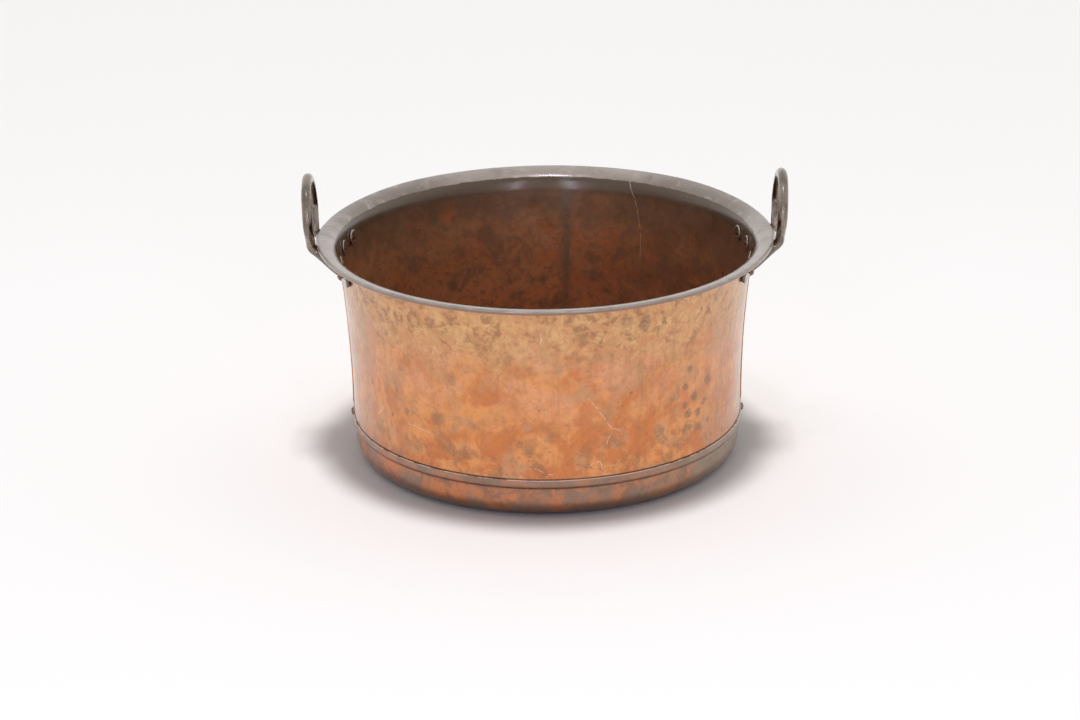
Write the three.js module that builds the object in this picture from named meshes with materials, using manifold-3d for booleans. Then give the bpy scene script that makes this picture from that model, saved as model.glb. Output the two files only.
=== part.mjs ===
// Two-handled copper pot: two half sheets of wall, a base pan, a wired rim and riveted loop handles.
// Millimetres, +Z up. The origin is the centre of the base's underside, on the floor.
// +X runs through the right handle, and the front of the pot faces -Y.

import * as THREE from 'three';
import { mergeVertices } from 'three/addons/utils/BufferGeometryUtils.js';
import Module from 'manifold-3d';

// Wall and rim
const RIM_RADIUS = 300; // outside of the rolled edge
const RIM_HEIGHT = 295.5; // floor to the top of the rolled edge
const WALL_RADIUS = 256.4; // outside of the wall at its foot
const WALL_FLARE = 12.8; // how much wider the wall is at the neck than at its foot
const FLARE_START = 68; // height at which the wall begins to flare
const FLARE_POWER = 2.15; // how late the flare comes on
const NECK_DROP = 28.5; // from the rim top down to the neck, where the flange begins to bend
const NECK_PULL = 17; // how far the bend still follows the wall
const FLANGE_PULL = 14; // how far the bend follows the flange
const FLANGE_DIP = 6; // degrees by which the flange falls away from the wire, towards the wall
const SHEET = 1.5; // thickness of the wall sheets
const WIRE_RADIUS = 1.2; // iron wire inside the rolled edge
const CURL_TURN = 255; // degrees by which the sheet is rolled over and around the wire

// Base pan
const PAN_SHEET = 1.5; // thickness of the base pan
const PAN_CORNER = 24; // outside radius between the flat bottom and the side
const LIP_TOP = 54.6; // height of the pan's upper edge
const LIP_DEPTH = 9.1; // how far the lip covers the foot of the wall
const LIP_JOGGLE = 3; // height over which the pan steps out to its lip

// Side seams
const SEAM_BACK = 6; // how far behind the centre line the front sheet ends
const SEAM_LAP = 14; // how far the back sheet laps over the front sheet
const SEAM_JOGGLE = 4; // length of the step that carries the lap
const LAP_TOP_DROP = 16; // from the rim top down to the top of the lap

// Handles
const HANDLE_RISE = 84.5; // from the rim top to the top of the grip
const GRIP_RADIUS = 6.25; // bar at the grip
const LEG_RADIUS = 5.6; // bar at the rim
const LOOP_HALF_WIDTH = 50; // bar centre, at the widest
const WAIST_HALF_WIDTH = 35; // bar centre, at the rim
const HANDLE_LEAN = 4.3; // how far the grip leans out past the legs
const PALM_START = 24; // inner end of the flattened palm, from the handle's middle
const PALM_END = 102; // outer end of the palm
const PALM_HEIGHT = 21;
const PALM_THICKNESS = 5;

// Rivets and their washers
const RIVET_DROP = 29; // from the rim top down to the handle rivets
const RIVET_NEAR = 33; // inner rivet, from the handle's middle
const RIVET_FAR = 76; // outer rivet
const SHANK_RADIUS = 3.4;
const HEAD_RADIUS = 6;
const HEAD_HEIGHT = 4;
const DISC_RADIUS = 10.5; // washer under the inner end of each handle rivet
const DISC_THICKNESS = 1.6;
const SEAM_RIVET_HEIGHT = 49; // above the floor
const SEAM_HEAD_RADIUS = 5.5;
const SEAM_HEAD_HEIGHT = 3.4;
const TAIL_HEIGHT = 1.6; // hammered inner end of a seam rivet

const CLEARANCE = 0.3; // between pieces that touch or pass through each other
const SEGMENTS = 60; // facets around the pot
const FLARE_STEPS = 4; // straight stretches in each curve of a section
const BEND_STEPS = 5;
const CURL_STEPS = 6;
const CORNER_STEPS = 4;
const DOME_STEPS = 3;
const WIRE_SIDES = 6;
const BAR_SIDES = 8;
const BAR_STEPS = 38;
const RIVET_SIDES = 12;

// Derived sizes
const curlRadius = WIRE_RADIUS + CLEARANCE + SHEET / 2; // middle of the sheet around the wire
const rollRadius = curlRadius + SHEET / 2;
const wireCentre = new THREE.Vector2(RIM_RADIUS - rollRadius, RIM_HEIGHT - rollRadius);
const neckHeight = RIM_HEIGHT - NECK_DROP;
const wallFoot = LIP_TOP - LIP_DEPTH;
const lipInside = WALL_RADIUS + CLEARANCE;
const panRadius = WALL_RADIUS - SHEET - CLEARANCE;
const palmHeight = RIM_HEIGHT - RIVET_DROP;
const facetDepth = WALL_RADIUS * (1 - Math.cos(Math.PI / SEGMENTS)); // a flat facet lies this far in

const wasm = await Module();
wasm.setup();

const copper = new THREE.MeshStandardMaterial({ color: 0xb8713f, roughness: 0.42, metalness: 1 });
const baseCopper = new THREE.MeshStandardMaterial({ color: 0x9a6240, roughness: 0.5, metalness: 1 });
const bronze = new THREE.MeshStandardMaterial({ color: 0x6f6257, roughness: 0.35, metalness: 1 });
const rivetCopper = new THREE.MeshStandardMaterial({ color: 0x7a6250, roughness: 0.45, metalness: 1 });
const iron = new THREE.MeshStandardMaterial({ color: 0x4a4744, roughness: 0.6, metalness: 1 });

// A closed mesh as a solid that can be cut and joined. Triangles that have shrunk to a line on the
// axis are left out.
function toSolid(geometry) {
  const plain = geometry.clone();
  plain.deleteAttribute('normal');
  plain.deleteAttribute('uv');
  const merged = mergeVertices(plain, 1e-4);
  const corners = merged.index.array;
  const kept = [];
  for (let i = 0; i < corners.length; i += 3) {
    const [a, b, c] = corners.slice(i, i + 3);
    if (a !== b && b !== c && c !== a) kept.push(a, b, c);
  }
  const mesh = new wasm.Mesh({
    numProp: 3,
    vertProperties: new Float32Array(merged.attributes.position.array),
    triVerts: new Uint32Array(kept),
  });
  return new wasm.Manifold(mesh);
}

function toGeometry(solid) {
  const mesh = solid.getMesh();
  const geometry = new THREE.BufferGeometry();
  geometry.setAttribute('position', new THREE.BufferAttribute(mesh.vertProperties, 3));
  geometry.setIndex(new THREE.BufferAttribute(mesh.triVerts, 1));
  const faceted = geometry.toNonIndexed();
  faceted.computeVertexNormals();
  return faceted;
}

function named(name, geometry, material) {
  const mesh = new THREE.Mesh(geometry, material);
  mesh.name = name;
  return mesh;
}

// A profile of (radius, height) points turned around the Z axis. The profile closes on itself or
// starts and ends on the axis.
function turned(points, segments = SEGMENTS) {
  const rising = THREE.ShapeUtils.isClockWise(points) ? [...points].reverse() : [...points];
  if (points[0].x > 0) rising.push(rising[0].clone());
  return new THREE.LatheGeometry(rising, segments).rotateX(Math.PI / 2);
}

function box(xRange, yRange, zRange) {
  const sizes = [xRange, yRange, zRange].map(([low, high]) => high - low);
  const middles = [xRange, yRange, zRange].map(([low, high]) => (low + high) / 2);
  return toSolid(new THREE.BoxGeometry(...sizes).translate(...middles));
}

// The points of a line moved outwards, away from the axis, by a distance.
function offset(line, distance) {
  return line.map((point, i) => {
    const before = line[Math.max(i - 1, 0)];
    const after = line[Math.min(i + 1, line.length - 1)];
    const along = after.clone().sub(before).normalize();
    return new THREE.Vector2(point.x + along.y * distance, point.y - along.x * distance);
  });
}

// Points on a circle around a centre, between two angles in degrees.
function arc(centre, radius, from, to, count) {
  return Array.from({ length: count + 1 }, (_, i) => {
    const angle = THREE.MathUtils.degToRad(from + ((to - from) * i) / count);
    return new THREE.Vector2(centre.x + radius * Math.cos(angle), centre.y + radius * Math.sin(angle));
  });
}

// Middle line of the wall sheet, from its foot to where it begins to curl around the wire.
const wallMiddle = WALL_RADIUS - SHEET / 2;
const flareHeight = neckHeight - FLARE_START;
const flareSlope = (WALL_FLARE * FLARE_POWER) / flareHeight;

function sheetLine() {
  const line = [new THREE.Vector2(wallMiddle, wallFoot)];
  for (let i = 0; i < FLARE_STEPS; i += 1) {
    const share = i / FLARE_STEPS;
    const radius = wallMiddle + WALL_FLARE * share ** FLARE_POWER;
    line.push(new THREE.Vector2(radius, FLARE_START + flareHeight * share));
  }
  const neck = new THREE.Vector2(wallMiddle + WALL_FLARE, neckHeight);
  const neckPull = new THREE.Vector2(flareSlope, 1).normalize().multiplyScalar(NECK_PULL);
  const dip = THREE.MathUtils.degToRad(FLANGE_DIP);
  const curlStart = arc(wireCentre, curlRadius, 90 + FLANGE_DIP, 0, 1)[0];
  const flangePull = new THREE.Vector2(-Math.cos(dip), -Math.sin(dip)).multiplyScalar(FLANGE_PULL);
  const bend = new THREE.CubicBezierCurve(
    neck,
    neck.clone().add(neckPull),
    curlStart.clone().add(flangePull),
    curlStart,
  );
  return [...line, ...bend.getPoints(BEND_STEPS)];
}

const middleLine = sheetLine();
const curlEnd = 90 + FLANGE_DIP - CURL_TURN;
const curlLine = arc(wireCentre, curlRadius, 90 + FLANGE_DIP, curlEnd, CURL_STEPS).slice(1);

// The space between two offsets of the wall's outside face, below the curl.
function skin(inner, outer) {
  const faceOffset = SHEET / 2;
  const outerLine = offset(middleLine, faceOffset + outer);
  const innerLine = offset(middleLine, faceOffset + inner);
  return toSolid(turned([...outerLine, ...innerLine.reverse()]));
}

// Everything inside the outer faces of the wall and the rolled edge, with the clearance added.
function wallEnvelope() {
  const rollOutside = rollRadius + CLEARANCE;
  const rollInside = wireCentre.x - rollOutside;
  const outside = offset(middleLine, SHEET / 2 + CLEARANCE).filter((point) => point.x < rollInside);
  const roll = arc(wireCentre, rollOutside, -180, 90, 2 * CURL_STEPS);
  const foot = new THREE.Vector2(0, wallFoot);
  const top = new THREE.Vector2(0, RIM_HEIGHT + CLEARANCE);
  return toSolid(turned([foot, ...outside, ...roll, top]));
}

// Places on the wall for the rivets. Local +Z points straight out of the sheet, and the group's
// origin is on the sheet's outside face.
function station(sideways, height, slope, radius, toLeft = false) {
  const place = new THREE.Group();
  const angle = toLeft ? Math.PI - Math.asin(sideways / radius) : Math.asin(sideways / radius);
  place.position.set(radius * Math.cos(angle), radius * Math.sin(angle), height);
  const outwards = new THREE.Vector3(Math.cos(angle), Math.sin(angle), -slope).normalize();
  place.quaternion.setFromUnitVectors(new THREE.Vector3(0, 0, 1), outwards);
  place.updateMatrixWorld();
  return place;
}

const neckRadius = WALL_RADIUS + WALL_FLARE + (palmHeight - neckHeight) * flareSlope;
const handleStations = [-RIVET_FAR, -RIVET_NEAR, RIVET_NEAR, RIVET_FAR].map((sideways) =>
  station(sideways, palmHeight, flareSlope, neckRadius),
);
const seamMiddle = SEAM_BACK - SEAM_LAP / 2;
const seamStations = [false, true].map((toLeft) =>
  station(seamMiddle, SEAM_RIVET_HEIGHT, 0, WALL_RADIUS, toLeft),
);

// A round plug along a station's axis, used to cut the holes that rivets pass through.
function plug(place, radius, from, to) {
  const geometry = new THREE.CylinderGeometry(radius, radius, to - from, RIVET_SIDES);
  geometry.rotateX(Math.PI / 2).translate(0, 0, (from + to) / 2);
  return toSolid(geometry.applyMatrix4(place.matrixWorld));
}

const holeRadius = SHANK_RADIUS + CLEARANCE;
const tailRadius = holeRadius + CLEARANCE;
const halfTurn = new THREE.Matrix4().makeRotationZ(Math.PI);

function cutRivetHoles(sheet) {
  let result = sheet;
  const reach = 2 * PALM_THICKNESS;
  for (const place of handleStations) {
    const hole = plug(place, holeRadius, -reach, reach);
    result = result.subtract(hole).subtract(hole.transform(halfTurn.elements));
  }
  for (const place of seamStations) {
    result = result.subtract(plug(place, holeRadius, -reach, reach));
  }
  return result;
}

// Wall sheets, with the flange and the rolled edge made from the same sheet
function wallSheets() {
  const full = [...middleLine, ...curlLine];
  const profile = [...offset(full, SHEET / 2), ...offset(full, -SHEET / 2).reverse()];
  const whole = toSolid(turned(profile));
  const far = 2 * RIM_RADIUS;
  const frontEdge = SEAM_BACK - CLEARANCE / 2;
  const backEdge = SEAM_BACK + CLEARANCE / 2;
  const front = whole.intersect(box([-far, far], [-far, frontEdge], [0, far]));
  const backBody = whole.intersect(box([-far, far], [backEdge, far], [0, far]));

  const heights = [LIP_TOP + CLEARANCE, RIM_HEIGHT - LAP_TOP_DROP];
  const stepEnd = backEdge + SEAM_JOGGLE;
  const lapStrip = box([-far, far], [SEAM_BACK - SEAM_LAP, stepEnd], heights);
  const stepStrip = box([-far, far], [backEdge, stepEnd], heights);
  const lap = skin(CLEARANCE, CLEARANCE + SHEET).intersect(lapStrip);
  const step = skin(-SHEET / 2, CLEARANCE + SHEET / 2).intersect(stepStrip);
  const back = backBody.add(step).add(lap);
  return [
    named('wall_sheet_front', toGeometry(cutRivetHoles(front)), copper),
    named('wall_sheet_back', toGeometry(cutRivetHoles(back)), copper),
  ];
}

// Base pan: flat bottom, round corner, straight side, and a lip that laps over the wall's foot
function basePan() {
  const cornerCentre = new THREE.Vector2(panRadius - PAN_CORNER, PAN_CORNER);
  const shoulder = wallFoot - CLEARANCE - PAN_SHEET;
  const line = [
    new THREE.Vector2(0, 0),
    ...arc(cornerCentre, PAN_CORNER, -90, 0, CORNER_STEPS),
    new THREE.Vector2(panRadius, shoulder - LIP_JOGGLE + PAN_SHEET),
    new THREE.Vector2(lipInside + PAN_SHEET, shoulder + PAN_SHEET),
    new THREE.Vector2(lipInside + PAN_SHEET, LIP_TOP),
  ];
  const inside = [
    new THREE.Vector2(lipInside, LIP_TOP),
    new THREE.Vector2(lipInside, wallFoot - CLEARANCE),
    new THREE.Vector2(panRadius - PAN_SHEET, wallFoot - CLEARANCE - LIP_JOGGLE + PAN_SHEET),
    ...arc(cornerCentre, PAN_CORNER - PAN_SHEET, 0, -90, CORNER_STEPS),
    new THREE.Vector2(0, PAN_SHEET),
  ];
  const pan = toSolid(turned([...line, ...inside]));
  return named('base_pan', toGeometry(cutRivetHoles(pan)), baseCopper);
}

function rimWire() {
  const section = arc(wireCentre, WIRE_RADIUS, 0, 360, WIRE_SIDES).slice(1);
  return named('rim_wire', turned(section), iron);
}

// Handle: a round bar bent to a loop that stands above the rim, narrows at the rim, turns in under
// the rolled edge and spreads into two palms that lie on the neck
function onCircle(radius, sideways, height) {
  return new THREE.Vector3(Math.sqrt(radius ** 2 - sideways ** 2), sideways, height);
}

function handlePath() {
  const waist = onCircle(RIM_RADIUS, WAIST_HALF_WIDTH, RIM_HEIGHT);
  const legX = waist.x + LEG_RADIUS + 2 * CLEARANCE;
  const gripTop = RIM_HEIGHT + HANDLE_RISE - GRIP_RADIUS;
  const archHeight = gripTop - LOOP_HALF_WIDTH;
  const half = [];
  for (const degrees of [30, 60, 90]) {
    const angle = THREE.MathUtils.degToRad(degrees);
    const sideways = LOOP_HALF_WIDTH * Math.sin(angle);
    const height = archHeight + LOOP_HALF_WIDTH * Math.cos(angle);
    const lean = (HANDLE_LEAN * (height - RIM_HEIGHT)) / (gripTop - RIM_HEIGHT);
    half.push(new THREE.Vector3(legX + lean, sideways, height));
  }
  const underRoll = wireCentre.y - rollRadius - LEG_RADIUS - 4 * CLEARANCE;
  const palmMiddle = (RIVET_NEAR + RIVET_FAR) / 2;
  const palmFace = neckRadius + CLEARANCE + PALM_THICKNESS;
  const landing = onCircle(palmFace + LEG_RADIUS / 3, palmMiddle, palmHeight + LEG_RADIUS / 3);
  const under = onCircle(wireCentre.x, WAIST_HALF_WIDTH, underRoll);
  half.push(new THREE.Vector3(legX, WAIST_HALF_WIDTH + LEG_RADIUS / 2, RIM_HEIGHT + LEG_RADIUS));
  half.push(new THREE.Vector3(legX, WAIST_HALF_WIDTH - LEG_RADIUS / 4, wireCentre.y - LEG_RADIUS / 2));
  half.push(under, under.clone().lerp(landing, 0.45), landing);
  half.push(onCircle(palmFace - PALM_THICKNESS / 2, palmMiddle + PALM_HEIGHT / 3, palmHeight));
  const mirrored = half.map((point) => new THREE.Vector3(point.x, -point.y, point.z)).reverse();
  const top = new THREE.Vector3(legX + HANDLE_LEAN, 0, gripTop);
  return new THREE.CatmullRomCurve3([...mirrored, top, ...half], false, 'centripetal');
}

// The bar is thickest at the grip and thinner at the rim. Each ring of the extrusion is scaled
// about its own point on the path.
function taperedBar(path, steps) {
  const circle = new THREE.Shape().absarc(0, 0, GRIP_RADIUS, 0, 2 * Math.PI);
  const options = { steps, curveSegments: BAR_SIDES / 2, bevelEnabled: false, extrudePath: path };
  const geometry = new THREE.ExtrudeGeometry(circle, options);
  const rings = path.getSpacedPoints(steps);
  const position = geometry.attributes.position;
  const vertex = new THREE.Vector3();
  for (let i = 0; i < position.count; i += 1) {
    vertex.fromBufferAttribute(position, i);
    const centre = rings.reduce((a, b) => (a.distanceTo(vertex) < b.distanceTo(vertex) ? a : b));
    const share = THREE.MathUtils.smoothstep(centre.z, RIM_HEIGHT, RIM_HEIGHT + HANDLE_RISE / 2);
    const radius = THREE.MathUtils.lerp(LEG_RADIUS, GRIP_RADIUS, share);
    vertex.sub(centre).multiplyScalar(radius / GRIP_RADIUS).add(centre);
    position.setXYZ(i, vertex.x, vertex.y, vertex.z);
  }
  return geometry;
}

function palm(side) {
  const outline = new THREE.Shape();
  const end = PALM_HEIGHT / 2;
  outline.absarc(PALM_END - end, palmHeight, end, -Math.PI / 2, Math.PI / 2);
  outline.absarc(PALM_START + end, palmHeight, end, Math.PI / 2, (3 * Math.PI) / 2);
  const options = { depth: RIM_RADIUS, bevelEnabled: false, curveSegments: CORNER_STEPS };
  const block = new THREE.ExtrudeGeometry(outline, options);
  const toYZ = new THREE.Matrix4().makeBasis(
    new THREE.Vector3(0, 1, 0),
    new THREE.Vector3(0, 0, 1),
    new THREE.Vector3(1, 0, 0),
  );
  block.applyMatrix4(toYZ);
  const whole = skin(CLEARANCE, CLEARANCE + PALM_THICKNESS).intersect(toSolid(block));
  const mirror = new THREE.Matrix4().makeScale(1, side, 1);
  return whole.transform(mirror.elements);
}

function handleGeometry() {
  const bar = toSolid(taperedBar(handlePath(), BAR_STEPS));
  let handle = bar.add(palm(1)).add(palm(-1)).subtract(wallEnvelope());
  const headSeat = CLEARANCE + PALM_THICKNESS;
  for (const place of handleStations) {
    handle = handle.subtract(plug(place, holeRadius, -headSeat, 2 * headSeat));
    const headRoom = plug(place, HEAD_RADIUS + CLEARANCE, headSeat, headSeat + 3 * HEAD_HEIGHT);
    handle = handle.subtract(headRoom);
  }
  return toGeometry(handle);
}

// A rivet with a domed head. Heights are measured from the sheet's outside face.
function rivetGeometry(seat, headRadius, headHeight, tailEnd, tailRadius, tailHeight) {
  const domeRadius = (headRadius ** 2 + headHeight ** 2) / (2 * headHeight);
  const domeCentre = new THREE.Vector2(0, seat + headHeight - domeRadius);
  const low = THREE.MathUtils.radToDeg(Math.asin((seat - domeCentre.y) / domeRadius));
  const profile = [
    new THREE.Vector2(0, tailEnd - tailHeight),
    new THREE.Vector2(tailRadius, tailEnd - tailHeight),
    new THREE.Vector2(tailRadius, tailEnd),
    new THREE.Vector2(SHANK_RADIUS, tailEnd),
    new THREE.Vector2(SHANK_RADIUS, seat),
    ...arc(domeCentre, domeRadius, low, 90, DOME_STEPS).slice(0, -1),
    new THREE.Vector2(0, seat + headHeight),
  ];
  return turned(profile, RIVET_SIDES);
}

// A washer around a rivet's inner end, hammered to the curve of the wall's inside
function discGeometry(place) {
  const face = -SHEET - CLEARANCE;
  const reach = SHEET + 3 * DISC_THICKNESS;
  const round = plug(place, DISC_RADIUS, -2 * reach, 0);
  const washer = skin(face - DISC_THICKNESS, face).intersect(round);
  return toGeometry(washer.subtract(plug(place, holeRadius, -3 * reach, reach)));
}

// One handle with its four rivets and washers, on the right side
function handleSet(side) {
  const set = new THREE.Group();
  set.add(named(`handle_${side}`, handleGeometry(), bronze));
  const tailEnd = -SHEET - DISC_THICKNESS - 2 * CLEARANCE - facetDepth;
  const seat = 2 * CLEARANCE + PALM_THICKNESS;
  handleStations.forEach((place, i) => {
    const spot = new THREE.Group();
    spot.position.copy(place.position);
    spot.quaternion.copy(place.quaternion);
    const rivet = rivetGeometry(seat, HEAD_RADIUS, HEAD_HEIGHT, tailEnd, tailRadius, CLEARANCE);
    spot.add(named(`handle_rivet_${side}_${i + 1}`, rivet, rivetCopper));
    set.add(spot, named(`rivet_disc_${side}_${i + 1}`, discGeometry(place), rivetCopper));
  });
  return set;
}

function seamRivet(place, side) {
  const seat = CLEARANCE + PAN_SHEET + CLEARANCE;
  const tailEnd = -SHEET - CLEARANCE - facetDepth;
  const sizes = [SEAM_HEAD_RADIUS, SEAM_HEAD_HEIGHT, tailEnd, tailRadius, TAIL_HEIGHT];
  place.add(named(`seam_rivet_${side}`, rivetGeometry(seat, ...sizes), rivetCopper));
  return place;
}

const pot = new THREE.Group();
const rightSet = handleSet('right');
const leftSet = handleSet('left');
leftSet.rotation.z = Math.PI;
pot.add(...wallSheets(), basePan(), rimWire(), rightSet, leftSet);
pot.add(seamRivet(seamStations[0], 'right'), seamRivet(seamStations[1], 'left'));

export default pot;
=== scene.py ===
import math

import bpy
import numpy as np
from mathutils import Matrix, Vector


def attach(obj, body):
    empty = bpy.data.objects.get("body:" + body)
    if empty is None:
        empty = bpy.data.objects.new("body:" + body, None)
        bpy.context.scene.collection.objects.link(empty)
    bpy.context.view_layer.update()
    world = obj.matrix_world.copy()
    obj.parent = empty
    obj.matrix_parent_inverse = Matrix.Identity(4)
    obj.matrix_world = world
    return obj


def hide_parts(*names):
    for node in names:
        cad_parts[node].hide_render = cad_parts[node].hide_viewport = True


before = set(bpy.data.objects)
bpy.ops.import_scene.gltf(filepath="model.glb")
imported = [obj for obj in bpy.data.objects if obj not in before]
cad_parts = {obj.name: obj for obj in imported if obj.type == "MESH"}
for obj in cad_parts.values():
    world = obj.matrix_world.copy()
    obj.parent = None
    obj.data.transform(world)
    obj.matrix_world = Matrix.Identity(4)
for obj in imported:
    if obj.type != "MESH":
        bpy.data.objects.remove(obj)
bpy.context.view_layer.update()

# Camera. It stands in front of the pot and a little above it, where the photograph was taken:
# 12 rim radii away, looking down, with a slight turn and a slight roll.
MM = 0.001
RIM_RADIUS = 300.0
RIM_HEIGHT = 295.5
CAMERA_DISTANCE = 12.0 * RIM_RADIUS
CAMERA_ABOVE_RIM = 4.0116 * RIM_RADIUS
CAMERA_PITCH = 0.36637
CAMERA_YAW = -0.00247
CAMERA_ROLL = -0.01267
CAMERA_LENS = 96.91

camera = bpy.data.objects.new("camera", bpy.data.cameras.new("camera"))
bpy.context.scene.collection.objects.link(camera)
bpy.context.scene.camera = camera
camera.data.lens = CAMERA_LENS
camera.data.sensor_width = 36.0
camera.data.clip_end = 100.0
ahead = Vector((
    math.sin(CAMERA_YAW) * math.cos(CAMERA_PITCH),
    math.cos(CAMERA_YAW) * math.cos(CAMERA_PITCH),
    -math.sin(CAMERA_PITCH),
))
level_right = Vector((math.cos(CAMERA_YAW), -math.sin(CAMERA_YAW), 0.0))
level_up = level_right.cross(ahead)
right = math.cos(CAMERA_ROLL) * level_right + math.sin(CAMERA_ROLL) * level_up
up = math.cos(CAMERA_ROLL) * level_up - math.sin(CAMERA_ROLL) * level_right
turn = Matrix((right, up, -ahead)).transposed().to_4x4()
place = Matrix.Translation((0.0, -CAMERA_DISTANCE * MM, (RIM_HEIGHT + CAMERA_ABOVE_RIM) * MM))
camera.matrix_world = place @ turn

# Front and back wall sheets. Each is half of the wall, cut from 1.5 mm copper sheet, hammered to a
# slow flare, bent out to a flange and rolled over an iron wire. The back sheet laps over the front
# one at both sides. Years of use have dented the wall a little and pushed the rim out of round.
SHEET = 1.5
CLEARANCE = 0.3
WALL_RADIUS = 256.4
WALL_FLARE = 12.8
FLARE_START = 68.0
FLARE_POWER = 2.15
NECK_DROP = 28.5
NECK_PULL = 19.0
FLANGE_PULL = 20.0
FLANGE_DIP = 6.0
CURL_TURN = 255.0
WIRE_RADIUS = 1.2
LIP_TOP = 54.6
LIP_DEPTH = 9.1
SEAM_BACK = 6.0
SEAM_LAP = 14.0
SEAM_JOGGLE = 4.0
LAP_TOP = RIM_HEIGHT - 22.0
BEND_FOOT = RIM_HEIGHT - 33.5  # height from which the rim moves on its own
FRONT_PINCH = 2.8  # how far the rolled edge lies inside its circle beside the handles
FRONT_PINCH_REACH = 80.0  # and over how many degrees from each handle
BACK_PINCH = 4.2
BACK_PINCH_REACH = 50.0
WIDE_DENTS = (95.0, 0.45, 3)  # size and depth in mm, and seed
SMALL_DENTS = (24.0, 0.14, 5)
BEND_DENTS = (11.0, 0.28, 8)
RIM_SAG = (210.0, 0.2, 9)
FLARE_ROWS = 45
BEND_ROWS = 28
CURL_ROWS = 25
NEAR_SEAM = 22.0  # where the columns lie closer together
SEAM_COLUMNS = 25
WALL_COLUMNS = 92

wall_middle = WALL_RADIUS - SHEET / 2
neck_height = RIM_HEIGHT - NECK_DROP
flare_height = neck_height - FLARE_START
flare_slope = WALL_FLARE * FLARE_POWER / flare_height
curl_radius = WIRE_RADIUS + CLEARANCE + SHEET / 2
roll_radius = curl_radius + SHEET / 2
wire_centre = np.array([RIM_RADIUS - roll_radius, RIM_HEIGHT - roll_radius])


def on_circle(centre, radius, degrees):
    """Points of (radius, height) on a circle in the pot's section."""
    angles = np.radians(degrees)
    return centre + radius * np.stack([np.cos(angles), np.sin(angles)], axis=-1)


def wall_section():
    """The middle line of the sheet, from its foot over the flare and the flange to the curl's end."""
    foot = np.array([[wall_middle, LIP_TOP - LIP_DEPTH], [wall_middle, LIP_TOP]])
    share = np.linspace(0.0, 1.0, FLARE_ROWS + 1)[:-1]
    flare_radius = wall_middle + WALL_FLARE * share**FLARE_POWER
    flare = np.stack([flare_radius, FLARE_START + flare_height * share], axis=-1)
    neck = np.array([wall_middle + WALL_FLARE, neck_height])
    neck_along = np.array([flare_slope, 1.0]) / math.hypot(flare_slope, 1.0)
    curl_start = on_circle(wire_centre, curl_radius, 90.0 + FLANGE_DIP)
    dip = math.radians(FLANGE_DIP)
    flange_along = np.array([-math.cos(dip), -math.sin(dip)])
    t = np.linspace(0.0, 1.0, BEND_ROWS + 1)[:-1, None]
    neck_end = neck + NECK_PULL * neck_along
    flange_end = curl_start + FLANGE_PULL * flange_along
    bend = (1 - t)**3 * neck + 3 * (1 - t)**2 * t * neck_end
    bend = bend + 3 * (1 - t) * t**2 * flange_end + t**3 * curl_start
    turn_over = np.linspace(90.0 + FLANGE_DIP, 90.0 + FLANGE_DIP - CURL_TURN, CURL_ROWS)
    curl = on_circle(wire_centre, curl_radius, turn_over)
    return np.concatenate([foot, flare, bend, curl])


def rim_pinch(angle_from_front):
    """How far, in mm, the rolled edge lies inside its circle at an angle from the front's middle."""
    from_handle = np.degrees(np.abs(np.abs(angle_from_front) - math.pi / 2))
    front_share = np.clip(from_handle / FRONT_PINCH_REACH, 0.0, 1.0)
    back_share = np.clip(from_handle / BACK_PINCH_REACH, 0.0, 1.0)
    front = FRONT_PINCH * np.sin(math.pi * front_share**0.66)
    back = BACK_PINCH * np.sin(math.pi * back_share**0.84)
    return np.where(np.abs(angle_from_front) < math.pi / 2, front, back)


def ease(value, low, high):
    """0 below low, 1 above high, and smooth in between."""
    t = np.clip((value - low) / (high - low), 0.0, 1.0)
    return t * t * (3.0 - 2.0 * t)


def dents(around, height, size, depth, seed):
    """Smooth random dents on the unrolled wall, in and out by a depth, all in mm."""
    lattice = np.random.default_rng(seed).uniform(-1.0, 1.0, (512, 512))
    across = around / size + 200.0
    along = height / size + 20.0
    i = np.floor(across).astype(int)
    j = np.floor(along).astype(int)
    s = ease(across - i, 0.0, 1.0)
    t = ease(along - j, 0.0, 1.0)
    low = lattice[i, j] * (1 - s) + lattice[i + 1, j] * s
    high = lattice[i, j + 1] * (1 - s) + lattice[i + 1, j + 1] * s
    return depth * (low * (1 - t) + high * t)


def seam_columns(half_turn):
    """Places around a sheet from -1 to 1, close together near the seams at its two ends."""
    near = np.linspace(0.0, NEAR_SEAM, SEAM_COLUMNS)
    far = np.linspace(NEAR_SEAM, half_turn, WALL_COLUMNS)[1:]
    left = np.concatenate([near, far]) / half_turn - 1.0
    return np.concatenate([left, -left[:-1][::-1]])


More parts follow.
